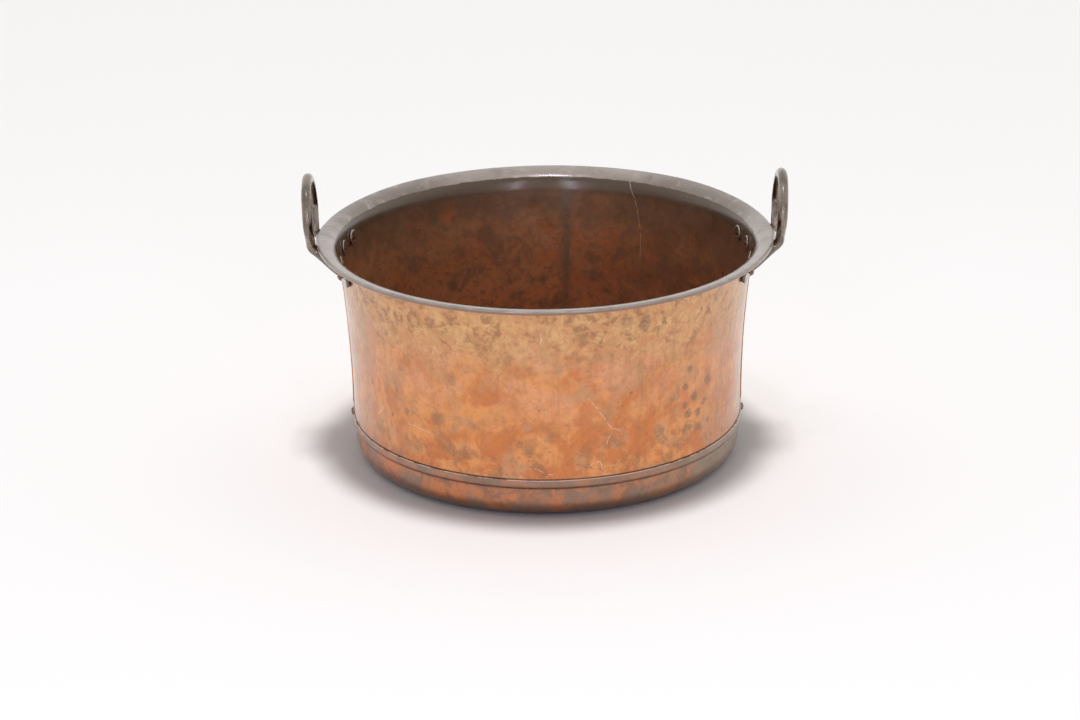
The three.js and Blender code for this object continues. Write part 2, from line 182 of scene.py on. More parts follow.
def sheet_points(is_back):
    """Rows of points over one wall sheet, in mm: rows follow the section, columns go around."""
    section = wall_section()
    radius = section[:, 0][:, None]
    height = section[:, 1][:, None]
    in_flange = np.arange(len(section))[:, None] > np.argmax(section[:, 1] > LAP_TOP + 6.0)
    edge_y = np.full_like(radius, SEAM_BACK - CLEARANCE / 2)
    if is_back:
        outside_lap = SEAM_BACK + CLEARANCE / 2
        in_lap = 1.0 - np.where(in_flange, 1.0, ease(height, LAP_TOP - 5.0, LAP_TOP))
        edge_y = outside_lap + (SEAM_BACK - SEAM_LAP - outside_lap) * in_lap
        edge_y = np.where(height < LIP_TOP + 1.0, outside_lap, edge_y)
    half_turn = math.pi / 2 + np.arcsin(edge_y / radius) * (-1.0 if is_back else 1.0)
    angle = half_turn * seam_columns(math.pi / 2 * WALL_RADIUS)[None, :]
    around = angle * WALL_RADIUS + (1000.0 if is_back else 0.0)
    free = ease(height, LIP_TOP + 6.0, LIP_TOP + 30.0)
    free = free * (1.0 - 0.6 * ease(height, BEND_FOOT - 22.0, BEND_FOOT))
    push = free * (dents(around, height, *WIDE_DENTS) + dents(around, height, *SMALL_DENTS))
    if is_back:
        y = radius * np.cos(angle)
        lapped = 1.0 - ease(y, outside_lap + 0.4, outside_lap + 0.4 + SEAM_JOGGLE)
        lapped = lapped * (1.0 - np.where(in_flange, 1.0, ease(height, LAP_TOP, LAP_TOP + 4.0)))
        lapped = lapped * ease(height, LIP_TOP - 3.0, LIP_TOP + 1.0)
        push = push + lapped * (SHEET + CLEARANCE)
    at_bend = ease(height, RIM_HEIGHT - 16.5, RIM_HEIGHT - 10.5)
    at_bend = at_bend * (1.0 - ease(radius, RIM_RADIUS - 16.0, RIM_RADIUS - 10.0))
    push = push + at_bend * dents(around, 0.4 * height, *BEND_DENTS)
    from_front = math.pi - np.abs(angle) if is_back else np.abs(angle)
    in_edge = ease(radius, RIM_RADIUS - 28.0, RIM_RADIUS - 4.0)
    in_edge = in_edge * ease(height, BEND_FOOT, BEND_FOOT + 18.0)
    push = push - in_edge * rim_pinch(from_front)
    size, depth, seed = RIM_SAG
    sag = dents(around, np.full_like(around, 50.0), size, depth, seed) - depth
    sag = sag * ease(height, BEND_FOOT, BEND_FOOT + 28.0)
    wide = radius + push + sag
    deep = wide * np.cos(angle) * (1.0 if is_back else -1.0)
    return np.stack([wide * np.sin(angle), deep, height + sag], axis=-1)


def grid_mesh(name, points, flip=False):
    """A mesh of quads over a grid of points in mm."""
    rows, columns = points.shape[:2]
    index = np.arange(rows * columns).reshape(rows, columns)
    quads = np.stack([index[:-1, :-1], index[:-1, 1:], index[1:, 1:], index[1:, :-1]], axis=-1)
    quads = quads.reshape(-1, 4)
    if flip:
        quads = quads[:, ::-1]
    mesh = bpy.data.meshes.new(name)
    mesh.from_pydata((points.reshape(-1, 3) * MM).tolist(), [], quads.tolist())
    return mesh


def add_piece(name, mesh):
    """A new object at the origin."""
    piece = bpy.data.objects.new(name, mesh)
    bpy.context.scene.collection.objects.link(piece)
    return piece


def bake_modifiers(piece, sharp_above=40.0):
    """Turns the evaluated piece into a plain mesh with smooth faces and sharp corners."""
    evaluated = piece.evaluated_get(bpy.context.evaluated_depsgraph_get())
    mesh = bpy.data.meshes.new_from_object(evaluated)
    mesh.name = piece.name
    piece.modifiers.clear()
    piece.data = mesh
    mesh.shade_smooth()
    mesh.set_sharp_from_angle(angle=math.radians(sharp_above))


def thicken(piece, thickness, skins):
    """Gives a sheet its thickness in mm, with the first skin on the side that its faces look to."""
    piece.data.materials.clear()
    for skin in skins:
        piece.data.materials.append(skin)
    solid = piece.modifiers.new("thickness", "SOLIDIFY")
    solid.thickness = thickness * MM
    solid.offset = 0.0
    solid.use_even_offset = True
    solid.material_offset = 1
    bake_modifiers(piece)


def linear(hex_colour):
    """An sRGB hex colour as the linear colour that a shader takes."""
    parts = [int(hex_colour[i:i + 2], 16) / 255.0 for i in (1, 3, 5)]
    curve = [p / 12.92 if p <= 0.04045 else ((p + 0.055) / 1.055)**2.4 for p in parts]
    return (*curve, 1.0)


def add_node(tree, kind, inputs=None, **settings):
    """Adds a node. Inputs are values, outputs to link, or nodes whose first output is linked."""
    node = tree.nodes.new(kind)
    for name, value in settings.items():
        setattr(node, name, value)
    for key, value in (inputs or {}).items():
        if isinstance(value, bpy.types.Node):
            value = value.outputs[0]
        if isinstance(value, bpy.types.NodeSocket):
            tree.links.new(value, node.inputs[key])
        else:
            node.inputs[key].default_value = value
    return node


NUMBER_RESULTS = ("DISTANCE", "LENGTH", "DOT_PRODUCT")


def calc(operation, first, *others):
    """One step of arithmetic on values, the first of which comes from a node."""
    inputs = dict(enumerate((first, *others)))
    return add_node(first.id_data, "ShaderNodeMath", inputs, operation=operation).outputs[0]


def vector_calc(operation, first, *others, **named):
    """The same on vectors. It gives a vector, or a number where the operation ends in one."""
    inputs = {**dict(enumerate((first, *others))), **named}
    node = add_node(first.id_data, "ShaderNodeVectorMath", inputs, operation=operation)
    return node.outputs["Value" if operation in NUMBER_RESULTS else "Vector"]


def axes_of(place):
    """The three numbers of a place that comes from a node."""
    return add_node(place.id_data, "ShaderNodeSeparateXYZ", {0: place}).outputs


# Metal skins. All metals of the pot lie under a thin clear skin of oil and oxide. Their marks are
# drawn in mm on Object coordinates, on the wall rolled out flat where they run up or around it.
def start_metal(name, roughness, metallic=1.0):
    """A new metal, its shader, and the place of a point on it in mm."""
    material = bpy.data.materials.new(name)
    material.use_nodes = True
    tree = material.node_tree
    shader = tree.nodes["Principled BSDF"]
    shader.inputs["Metallic"].default_value = metallic
    shader.inputs["Roughness"].default_value = roughness
    shader.inputs["Coat Weight"].default_value = 0.75
    shader.inputs["Coat Roughness"].default_value = 0.16
    place = add_node(tree, "ShaderNodeTexCoord").outputs["Object"]
    return material, shader, vector_calc("SCALE", place, Scale=1.0 / MM)


def finish_metal(shader, spot, colour, grain, depth, stretch=1.0, **varying):
    """Gives a metal its colour, a fine unevenness of a grain and a depth in mm, and what else varies
    over it, under its name on the shader."""
    tree = spot.id_data
    stretched = add_node(tree, "ShaderNodeMapping", {0: spot, 3: (1.0, 1.0, 1.0 / stretch)})
    noise = add_node(
        tree, "ShaderNodeTexNoise", {"Vector": stretched, "Scale": 1.0 / grain, "Detail": 4.0}
    )
    bump = add_node(tree, "ShaderNodeBump", {"Strength": 1.0, "Distance": depth * MM, "Height": noise})
    tree.links.new(bump.outputs[0], shader.inputs["Normal"])
    for name, value in {"Base Color": colour, **varying}.items():
        tree.links.new(value, shader.inputs[name])


def between(value, low, high, start=0.0, end=1.0):
    """Goes smoothly from start to end as the value goes from low to high."""
    return add_node(
        value.id_data, "ShaderNodeMapRange", {0: value, 1: low, 2: high, 3: start, 4: end},
        interpolation_type="SMOOTHSTEP",
    ).outputs[0]


def product(first, *others):
    """The product of some values, the first of which comes from a node."""
    for other in others:
        first = calc("MULTIPLY", first, other)
    return first


def away_from(middle, value):
    """How far a value lies from a middle, to either side."""
    return calc("ABSOLUTE", calc("SUBTRACT", value, middle))


def lay(under, over, *amounts):
    """Lays one colour over another, by the product of some amounts from 0 to 1."""
    under, over = (linear(c) if isinstance(c, str) else c for c in (under, over))
    amount = product(*amounts)
    mix = add_node(amount.id_data, "ShaderNodeMix", {0: amount, 6: under, 7: over}, data_type="RGBA")
    return mix.outputs[2]


def cloud(spot, size, low, high, strength, seed, stretch=1.0, detail=5.0, least=0.0):
    """Cloudy patches of a size in mm, adding up to strength. They begin where the noise passes low,
    and are full where it passes high. Stretch above 1 draws them out upwards."""
    tree = spot.id_data
    stretched = add_node(tree, "ShaderNodeMapping", {0: spot, 3: (1.0, 1.0, 1.0 / stretch)})
    noise = add_node(
        tree, "ShaderNodeTexNoise",
        {"Vector": stretched, "W": seed, "Scale": 1.0 / size, "Detail": detail,
         "Roughness": 0.6, "Distortion": 0.5},
        noise_dimensions="4D",
    )
    return between(noise.outputs[0], low, high, least, least + strength)


def ragged(height, spot, size, reach, seed):
    """The height, raised unevenly by up to a reach, so that a band drawn by it gets a ragged edge."""
    return calc("ADD", height, cloud(spot, size, 0.2, 0.8, reach, seed))


def unrolled(spot, inside=False):
    """The wall as a flat sheet: mm around from the front middle (from the back middle inside), and
    mm above the floor."""
    x, y, height = axes_of(spot)
    facing = product(y, 1.0 if inside else -1.0)
    around = product(calc("ARCTAN2", x, facing), WALL_RADIUS)
    flat = add_node(spot.id_data, "ShaderNodeCombineXYZ", {0: around, 1: height})
    return around, height, flat.outputs[0]


def unsteady(flat, size, reach, seed):
    """The flat place pushed about a little, so that a mark drawn on it has an uneven outline."""
    noise = add_node(
        flat.id_data, "ShaderNodeTexNoise",
        {"Vector": flat, "W": seed, "Scale": 1.0 / size, "Detail": 3.0},
        noise_dimensions="4D",
    )
    centred = vector_calc("SUBTRACT", noise.outputs[1], (0.5, 0.5, 0.5))
    return vector_calc("MULTIPLY_ADD", centred, (2 * reach, 2 * reach, 0.0), flat)


def stains(flat, spots):
    """Round stains on the flat sheet: (around, height, radius, strength) in mm."""
    uneven = unsteady(flat, 8.0, 4.0, 2.0)
    total = 0.0
    for around, height, radius, strength in spots:
        away = vector_calc("DISTANCE", uneven, (around, height, 0.0))
        level = between(away, 0.5 * radius, 1.3 * radius, strength, 0.0)
        total = calc("MAXIMUM", level, total)
    return total


def hairlines(flat, lines, width):
    """Thin scratches along lines of (around, height) points, as 1 on the scratch and 0 off it."""
    tree = flat.id_data
    uneven = unsteady(flat, 7.0, 1.6, 7.0)
    nearest = 1000.0
    for line in lines:
        for start, end in zip(line[:-1], line[1:]):
            step = Vector((end[0] - start[0], end[1] - start[1], 0.0))
            from_start = vector_calc("SUBTRACT", uneven, (*start, 0.0))
            along = vector_calc("DOT_PRODUCT", from_start, step / step.length_squared)
            held = add_node(tree, "ShaderNodeClamp", {0: along})
            foot = add_node(tree, "ShaderNodeVectorMath", {0: step, "Scale": held}, operation="SCALE")
            away = vector_calc("DISTANCE", from_start, foot)
            nearest = calc("MINIMUM", away, nearest)
    return between(nearest, 0.3 * width, width, 1.0, 0.0)


# Tarnished copper outside: rolled copper gone orange-brown under a thin uneven oxide. It gives the
# eye a satin orange with tan and brown clouds, upright wipe marks, dark drip spots and hair scratches,
# grey-brown sides that are partly a painted reflection, a brown band under the rolled edge that is
# partly painted shade, and a painted shadow line just above the base pan's lip.
ORANGE = "#cd7c43"
ORANGE_BRIGHT = "#e29a5b"
PINK = "#de9f78"
PALE_BROWN = "#c5936a"
TAN = "#cf9c6a"
GOLD = "#dcb079"
BROWN = "#986a4a"
REDDISH = "#c06c43"
GREY_BROWN_AND_REFLECTION = "#ab8a6c"
EDGE_BROWN_AND_SHADE = "#8f6f5b"
SPOT = "#87684f"
LIP_GAP_SHADE = "#5b4638"
SCRATCH = "#efe2d2"

front_spots = [
    (97, 263, 9, 0.7), (122, 261, 7, 0.75), (121, 250, 6, 0.6), (33, 224, 5, 0.5), (39, 218, 5, 0.5),
    (108, 164, 2.2, 0.8), (197, 175, 6, 0.75), (234, 149, 8, 0.8), (189, 152, 5.5, 0.75),
    (169, 142, 5, 0.45), (207, 134, 7, 0.75), (227, 122, 7, 0.6), (190, 127, 5.5, 0.8),
    (197, 114, 6.5, 0.85), (215, 111, 6, 0.8), (191, 95, 5, 0.7), (200, 95, 4.5, 0.6),
    (217, 90, 5, 0.55), (237, 93, 5, 0.6), (148, 102, 9, 0.6), (171, 95, 4, 0.5),
    (-202, 179, 5, 0.45), (-269, 140, 4, 0.5), (-224, 109, 4, 0.7), (-144, 123, 11, 0.5),
    (-197, 121, 6, 0.5), (-178, 78, 8, 0.5), (-34, 104, 4, 0.45), (-24, 93, 9, 0.4),
    (-123, 180, 9, 0.4), (-60, 112, 1.6, 0.8), (-10, 150, 1.4, 0.8), (95, 147, 1.4, 0.8),
]
front_scratches = [
    [(49, 166), (61, 150), (81, 119), (93, 115)],
    [(79, 109), (76, 103), (75, 98)],
    [(51, 71), (63, 76), (67, 75), (71, 57)],
    [(-17, 71), (-2, 63), (6, 62)],
    [(-244, 113), (-250, 106), (-258, 100)],
    [(-206, 106), (-180, 104), (-158, 102)],
    [(-9, 265), (-6, 247), (-11, 228)],
]


def copper_outside(name, spots=(), scratches=()):
    material, shader, spot = start_metal(name, 0.42)
    around, height, flat = unrolled(spot)
    colour = lay(ORANGE, ORANGE_BRIGHT, cloud(spot, 42.0, 0.42, 0.6, 1.0, 1.0))
    middle = between(height, 110.0, 190.0)
    colour = lay(colour, PINK, middle, cloud(spot, 70.0, 0.36, 0.6, 0.85, 2.0))
    colour = lay(colour, PALE_BROWN, cloud(spot, 34.0, 0.5, 0.62, 0.75, 43.0))
    upper = between(ragged(height, spot, 60.0, 80.0, 3.0), 205.0, 290.0, 0.0, 0.85)
    colour = lay(colour, TAN, upper)
    colour = lay(colour, GOLD, upper, cloud(spot, 17.0, 0.44, 0.62, 0.9, 4.0))
    colour = lay(colour, BROWN, upper, cloud(spot, 12.0, 0.48, 0.64, 0.85, 5.0))
    low = between(height, 60.0, 150.0, 1.0, 0.3)
    colour = lay(colour, BROWN, low, cloud(spot, 24.0, 0.48, 0.64, 0.7, 6.0))
    colour = lay(colour, REDDISH, low, cloud(spot, 13.0, 0.5, 0.66, 0.6, 19.0))
    colour = lay(colour, BROWN, cloud(spot, 9.0, 0.45, 0.75, 0.25, 7.0, stretch=8.0))
    # the sides: partly grey-brown patina, partly a painted reflection
    side = between(away_from(0.0, around), 190.0, 330.0)
    colour = lay(colour, GREY_BROWN_AND_REFLECTION, side, cloud(spot, 26.0, 0.4, 0.62, 0.6, 8.0, stretch=3.5))
    colour = lay(colour, BROWN, cloud(spot, 6.0, 0.46, 0.76, 0.4, 14.0, detail=3.0))
    colour = lay(colour, BROWN, cloud(spot, 2.4, 0.7, 0.8, 0.4, 9.0, detail=1.0))
    if spots:
        colour = lay(colour, SPOT, stains(flat, spots), cloud(spot, 5.0, 0.2, 0.6, 1.0, 15.0))
    else:
        colour = lay(colour, SPOT, cloud(spot, 22.0, 0.64, 0.74, 0.6, 10.0, detail=1.5))
    if scratches:
        worn = cloud(spot, 7.0, 0.42, 0.56, 0.55, 16.0)
        colour = lay(colour, SCRATCH, hairlines(flat, scratches, 0.62), worn)
    # painted shadow: a dark line in the gap just above the base pan's lip
    colour = lay(colour, LIP_GAP_SHADE, between(height, LIP_TOP + 0.8, LIP_TOP + 2.0, 0.8, 0.0))
    # brown under the rolled edge: partly its own colour, partly painted shade
    colour = lay(colour, EDGE_BROWN_AND_SHADE, between(height, RIM_HEIGHT - 14.0, RIM_HEIGHT - 8.0))
    dull = cloud(spot, 40.0, 0.3, 0.7, 0.16, 12.0, least=0.34)
    finish_metal(shader, spot, colour, 3.0, 0.05, stretch=2.0, Roughness=dull)
    return material


# Grey-brown patina of the flange and the rolled edge, where hands and lids have rubbed the tarnish
# to a smooth dull skin. It gives the eye a pale warm grey with soft cloudy changes, a painted dim
# reflection that darkens it to either side of the back, a brown underside of the roll that is
# partly painted shade, and a dark line where the two sheets meet.
PATINA = "#9f938a"
PATINA_DARK_AND_DIM_REFLECTION = "#786c61"
PATINA_PALE = "#b5aba2"
JOINT = "#3a322c"


def patina(spot, around, height):
    turned = away_from(0.0, around)
    # painted dim reflection: darker to either side of the back, paler again further round
    dim_reflection_aside = between(turned, 110.0, 170.0)
    colour = lay(PATINA, PATINA_DARK_AND_DIM_REFLECTION, dim_reflection_aside, between(turned, 300.0, 370.0, 1.0, 0.0), 0.8)
    colour = lay(colour, PATINA_DARK_AND_DIM_REFLECTION, cloud(spot, 30.0, 0.46, 0.68, 0.55, 11.0))
    colour = lay(colour, PATINA_PALE, cloud(spot, 17.0, 0.52, 0.72, 0.6, 13.0))
    out = vector_calc("LENGTH", vector_calc("MULTIPLY", spot, (1.0, 1.0, 0.0)))
    # the roll's underside: brown partly by its own colour, partly as painted shade
    under = between(height, RIM_HEIGHT - 3.2, RIM_HEIGHT - 2.0, 0.85, 0.0)
    colour = lay(colour, EDGE_BROWN_AND_SHADE, under, between(out, RIM_RADIUS - 11.5, RIM_RADIUS - 10.0))
    x, y, _ = axes_of(spot)
    line = between(away_from(SEAM_BACK, y), 0.6, 1.3, 1.0, 0.0)
    return lay(colour, JOINT, line, between(x, -10.0, 10.0, 0.85, 0.35))


# Smoke-darkened copper inside: years of use have left a deep red-brown skin, olive towards the top.
# It gives the eye a dark glossy brown with rusty patches, one dark upright streak and pale specks,
# and painted shade in a dark band below the flange and on the bend up to it.
INSIDE = "#d29363"
INSIDE_RUST = "#db8552"
INSIDE_DARK = "#8c6a51"
INSIDE_OLIVE = "#a58463"
INSIDE_STREAK = "#6f6c60"
INSIDE_LOW = "#f49e65"
INSIDE_SHADE_BAND = "#755840"
INSIDE_BEND_SHADE = "#50402f"
FLANGE_EDGE = RIM_HEIGHT - 9.6
BACK_OF_TURN = (500.0, 780.0)  # mm around, where a mark of the right side has faded out again

back_stains = [
    (INSIDE_DARK, [(-84, 212, 14, 0.7), (-60, 236, 9, 0.4), (-120, 190, 10, 0.4)]),
    (INSIDE_RUST, [(-140, 249, 16, 0.7), (60, 250, 12, 0.4)]),
]
back_streaks = [(28, 7)]
back_scratches = [[(112, 290), (114, 286), (128, 254), (136, 219), (137, 180)]]


def copper_inside(name, spots=(), streaks=(), scratches=()):
    material, shader, spot = start_metal(name, 0.34, metallic=0.5)
    around, height, flat = unrolled(spot, inside=True)
    colour = lay(INSIDE, INSIDE_RUST, cloud(spot, 38.0, 0.45, 0.62, 0.7, 21.0))
    top = between(height, 170.0, 270.0)
    colour = lay(colour, INSIDE_OLIVE, top, cloud(spot, 50.0, 0.3, 0.6, 0.9, 22.0))
    lower = between(ragged(height, spot, 40.0, 50.0, 18.0), 120.0, 210.0, 0.85, 0.0)
    colour = lay(colour, INSIDE_LOW, lower)
    colour = lay(colour, INSIDE_DARK, cloud(spot, 30.0, 0.46, 0.66, 0.8, 23.0))
    colour = lay(colour, INSIDE_DARK, cloud(spot, 8.0, 0.44, 0.7, 0.55, 28.0))
    colour = lay(colour, INSIDE_RUST, top, cloud(spot, 16.0, 0.58, 0.7, 0.7, 24.0))
    for stain_colour, places in spots:
        colour = lay(colour, stain_colour, stains(flat, places))
    to_right = between(around, 30.0, 230.0, 0.0, 0.75)
    fading = between(around, *BACK_OF_TURN, 1.0, 0.0)
    colour = lay(colour, INSIDE_DARK, to_right, fading, cloud(spot, 44.0, 0.3, 0.6, 1.0, 47.0))
    # painted shade: a dark band on the inside wall just below the flange
    shade_band = between(ragged(height, spot, 25.0, 40.0, 44.0), 225.0, 300.0, 0.0, 0.95)
    colour = lay(colour, INSIDE_SHADE_BAND, shade_band)
    # painted shade on the bend up to the flange, which faces up and would otherwise look lit
    colour = lay(colour, INSIDE_BEND_SHADE, between(height, BEND_FOOT, BEND_FOOT + 16.0, 0.0, 0.85))
    # a dark upright streak, broken along its length
    for middle, half_width in streaks:
        away = away_from(middle, axes_of(unsteady(flat, 30.0, 5.0, 25.0))[0])
        run = between(away, 0.2 * half_width, 1.7 * half_width, 0.6, 0.0)
        broken = cloud(spot, 9.0, 0.2, 0.55, 1.0, 29.0, stretch=4.0)
        colour = lay(colour, INSIDE_STREAK, run, broken)
    colour = lay(colour, TAN, cloud(spot, 3.2, 0.72, 0.8, 0.45, 26.0, detail=1.0))
    if scratches:
        worn = cloud(spot, 9.0, 0.4, 0.5, 0.5, 30.0)
        colour = lay(colour, SCRATCH, hairlines(flat, scratches, 0.7), worn)
    wavy = ragged(height, spot, 14.0, 1.6, 17.0)
    flange = between(wavy, FLANGE_EDGE + 0.6, FLANGE_EDGE + 1.4)
    colour = lay(colour, patina(spot, around, height), flange)
    crease = product(between(height, 279.0, 283.0), between(height, 289.0, 292.0, 1.0, 0.0))
    dull = cloud(spot, 30.0, 0.3, 0.7, 0.16, 27.0, least=0.26)
    for mark, duller in ((crease, -0.14), (flange, 0.08)):
        dull = calc("MULTIPLY_ADD", mark, duller, dull)
    metallic = between(flange, 0.0, 1.0, 0.5, 0.7)
    finish_metal(shader, spot, colour, 5.0, 0.08, Roughness=dull, Metallic=metallic)
    return material


front_skins = (
    copper_outside("tarnished copper, front sheet", front_spots, front_scratches),
    copper_inside("darkened copper, inside of front sheet"),
)
back_skins = (
    copper_outside("tarnished copper, back sheet"),
    copper_inside("darkened copper, inside of back sheet", back_stains, back_streaks, back_scratches),
)
for side_name, is_back, skins in (("front", False, front_skins), ("back", True, back_skins)):
    name = f"wall_sheet_{side_name}_copper"
    sheet = add_piece(name, grid_mesh(name, sheet_points(is_back), flip=is_back))
    thicken(sheet, SHEET, skins)
    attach(sheet, "root")
    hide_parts(f"wall_sheet_{side_name}")

# Base pan. A dish raised from one copper disc, with a flat bottom, a round corner and a lip stepped
# out over the wall's foot, where it is brazed. It is browner and greyer than the wall.
PAN_SHEET = 1.5
PAN_CORNER = 24.0
LIP_JOGGLE = 3.0
PAN_DENT = 26.0
PAN_DENT_DEPTH = 0.25
PAN_STEPS_AROUND = 353
PAN_STEPS_ALONG = 140

pan_radius = WALL_RADIUS - SHEET - CLEARANCE
lip_radius = WALL_RADIUS + CLEARANCE + PAN_SHEET
shoulder = LIP_TOP - LIP_DEPTH - CLEARANCE
pan_corner_centre = np.array([pan_radius - PAN_CORNER, PAN_CORNER])
corner_arc = on_circle(pan_corner_centre, PAN_CORNER - PAN_SHEET / 2, np.linspace(-90.0, 0.0, 19))
step_share = np.linspace(0.0, 1.0, 9)
step_radius = pan_radius - PAN_SHEET / 2 + (lip_radius - pan_radius) * ease(step_share, 0.0, 1.0)
step = np.stack([step_radius, shoulder - LIP_JOGGLE + LIP_JOGGLE * step_share], axis=-1)
lip_edge = np.array([[lip_radius - PAN_SHEET / 2, LIP_TOP]])
flat_bottom = np.array([[0.0, PAN_SHEET / 2]])
pan_section = np.concatenate([flat_bottom, corner_arc, step, lip_edge])


def line_mesh(name, points, closed=False):
    """A mesh that is only a line through points in mm."""
    count = len(points)
    steps = [(i, (i + 1) % count) for i in range(count if closed else count - 1)]
    mesh = bpy.data.meshes.new(name)
    mesh.from_pydata((np.asarray(points) * MM).tolist(), steps, [])
    return mesh


def start_tree(name, **labels):
    """A Geometry Nodes tree with a geometry input, named inputs by kind, and an output."""
    tree = bpy.data.node_groups.new(name, "GeometryNodeTree")
    tree.interface.new_socket("Geometry", in_out="INPUT", socket_type="NodeSocketGeometry")
    for kind, names in labels.items():
        for label in names:
            tree.interface.new_socket(label, in_out="INPUT", socket_type=f"NodeSocket{kind}")
    tree.interface.new_socket("Geometry", in_out="OUTPUT", socket_type="NodeSocketGeometry")
    return tree, add_node(tree, "NodeGroupInput").outputs


def end_tree(tree, geometry, material):
    """Ends a tree with real geometry and its material."""
    real = add_node(tree, "GeometryNodeRealizeInstances", {0: geometry})
    finished = add_node(tree, "GeometryNodeSetMaterial", {0: real, "Material": material})
    add_node(tree, "NodeGroupOutput", {0: finished})
    return tree


def grow(piece, tree, values, sharp_above=40.0):
    """Runs a tree on a piece, with its named inputs set by their identifiers, and keeps the result."""
    modifier = piece.modifiers.new(tree.name, "NODES")
    modifier.node_group = tree
    identifiers = {s.name: s.identifier for s in tree.interface.items_tree if s.in_out == "INPUT"}
    for label, value in values.items():
        modifier[identifiers[label]] = value
    bake_modifiers(piece, sharp_above)


# Tarnished base copper: the same sheet, greyed by the hearth from below. It gives the eye orange
# patches in a dull grey-brown, darkest along the lower edge, with a bright line on the lip that is
# partly rubbed wear and partly a painted highlight, and a painted shade line in the step below the lip.
BASE_ORANGE = "#c98053"
BASE_BROWN = "#9c7058"
BASE_GREY = "#8f7a69"
BASE_OLIVE = "#978571"
BASE_SOOT_AND_SHADE = "#5f5148"
BASE_WORN_AND_GLINT = "#d9c8bd"


def base_copper():
    material, shader, spot = start_metal("hearth-greyed copper", 0.45)
    around, height, flat = unrolled(spot)
    colour = lay(BASE_ORANGE, BASE_BROWN, cloud(spot, 24.0, 0.46, 0.56, 0.9, 31.0))
    colour = lay(colour, BASE_GREY, cloud(spot, 45.0, 0.42, 0.6, 0.8, 32.0))
    to_right = between(around, 60.0, 260.0)
    fading = between(around, *BACK_OF_TURN, 1.0, 0.0)
    colour = lay(colour, BASE_OLIVE, to_right, fading, cloud(spot, 30.0, 0.3, 0.52, 0.9, 36.0))
    foot = between(ragged(height, spot, 18.0, 24.0, 33.0), 14.0, 30.0, 0.95, 0.0)
    colour = lay(colour, BASE_GREY, foot)
    colour = lay(colour, BASE_GREY, between(height, shoulder - 3.7, shoulder - 0.7, 0.0, 0.5))
    wavy = ragged(height, spot, 14.0, 1.6, 37.0)
    # painted shade: a dark line in the step below the lip
    crease = between(wavy, shoulder - 2.6, shoulder - 1.6)
    colour = lay(colour, BASE_SOOT_AND_SHADE, crease, between(wavy, shoulder - 1.4, shoulder - 0.2, 1.0, 0.0), 0.7)
    colour = lay(colour, BASE_SOOT_AND_SHADE, between(height, 1.0, 13.0, 0.6, 0.0))
    colour = lay(colour, BASE_SOOT_AND_SHADE, cloud(spot, 8.0, 0.56, 0.76, 0.5, 34.0))
    colour = lay(colour, BASE_SOOT_AND_SHADE, cloud(spot, 3.5, 0.5, 0.8, 0.3, 38.0))
    # a bright line along the lip's top edge: partly rubbed wear, partly a painted highlight
    worn = between(height, LIP_TOP - 1.1, LIP_TOP - 0.5)
    colour = lay(colour, BASE_WORN_AND_GLINT, worn, cloud(spot, 20.0, 0.42, 0.5, 0.9, 39.0))
    dull = cloud(spot, 24.0, 0.3, 0.7, 0.2, 35.0, least=0.36)
    finish_metal(shader, spot, colour, 4.0, 0.08, Roughness=dull)
    return material


def turned_sheet(material):
    """A section line turned around the pot's axis into a sheet, with shallow hammer dents."""
    tree, sizes = start_tree(
        "turned sheet", Int=("Steps Around", "Steps Along"), Float=("Dent Size", "Dent Depth", "Seed")
    )
    line = add_node(tree, "GeometryNodeMeshToCurve", {0: sizes["Geometry"]})
    grid = add_node(tree, "GeometryNodeMeshGrid", {
        "Size X": 1.0, "Size Y": 1.0,
        "Vertices X": sizes["Steps Around"], "Vertices Y": sizes["Steps Along"],
    })
    place = add_node(tree, "GeometryNodeInputPosition").outputs[0]
    x, y, height = axes_of(place)
    section = add_node(
        tree, "GeometryNodeSampleCurve", {"Curves": line, "Factor": calc("ADD", y, 0.5)}, mode="FACTOR"
    )
    turned = add_node(
        tree, "ShaderNodeVectorRotate",
        {"Vector": section.outputs["Position"], "Angle": product(x, -2.0 * math.pi)},
        rotation_type="Z_AXIS",
    )
    shaped = add_node(tree, "GeometryNodeSetPosition", {0: grid, "Position": turned})
    closed = add_node(tree, "GeometryNodeMergeByDistance", {0: shaped, "Distance": 0.02 * MM})
    scale = add_node(tree, "ShaderNodeMath", {0: 1.0, 1: sizes["Dent Size"]}, operation="DIVIDE")
    noise = add_node(
        tree, "ShaderNodeTexNoise",
        {"Vector": place, "W": sizes["Seed"], "Scale": scale, "Detail": 1.0},
        noise_dimensions="4D",
    )
    centred = calc("SUBTRACT", noise, 0.5)
    on_side = between(height, 4.0 * MM, 14.0 * MM)
    under_lip = between(height, 36.0 * MM, 42.0 * MM, 1.0, 0.0)
    depth = product(centred, sizes["Dent Depth"], on_side, under_lip)
    push = vector_calc("SCALE", add_node(tree, "GeometryNodeInputNormal"), Scale=depth)
    dented = add_node(tree, "GeometryNodeSetPosition", {0: closed, "Offset": push})
    return end_tree(tree, dented.outputs[0], material)


base_pan = add_piece(
    "base_pan_copper", line_mesh("pan section", [(r, 0.0, h) for r, h in pan_section])
)
hearth_copper = base_copper()
grow(base_pan, turned_sheet(hearth_copper), {
    "Steps Around": PAN_STEPS_AROUND, "Steps Along": PAN_STEPS_ALONG,
    "Dent Size": PAN_DENT * MM, "Dent Depth": 2 * PAN_DENT_DEPTH * MM, "Seed": 4.0,
})
thicken(base_pan, PAN_SHEET, (hearth_copper, hearth_copper))  # greyed the same inside and out
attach(base_pan, "root")
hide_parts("base_pan")

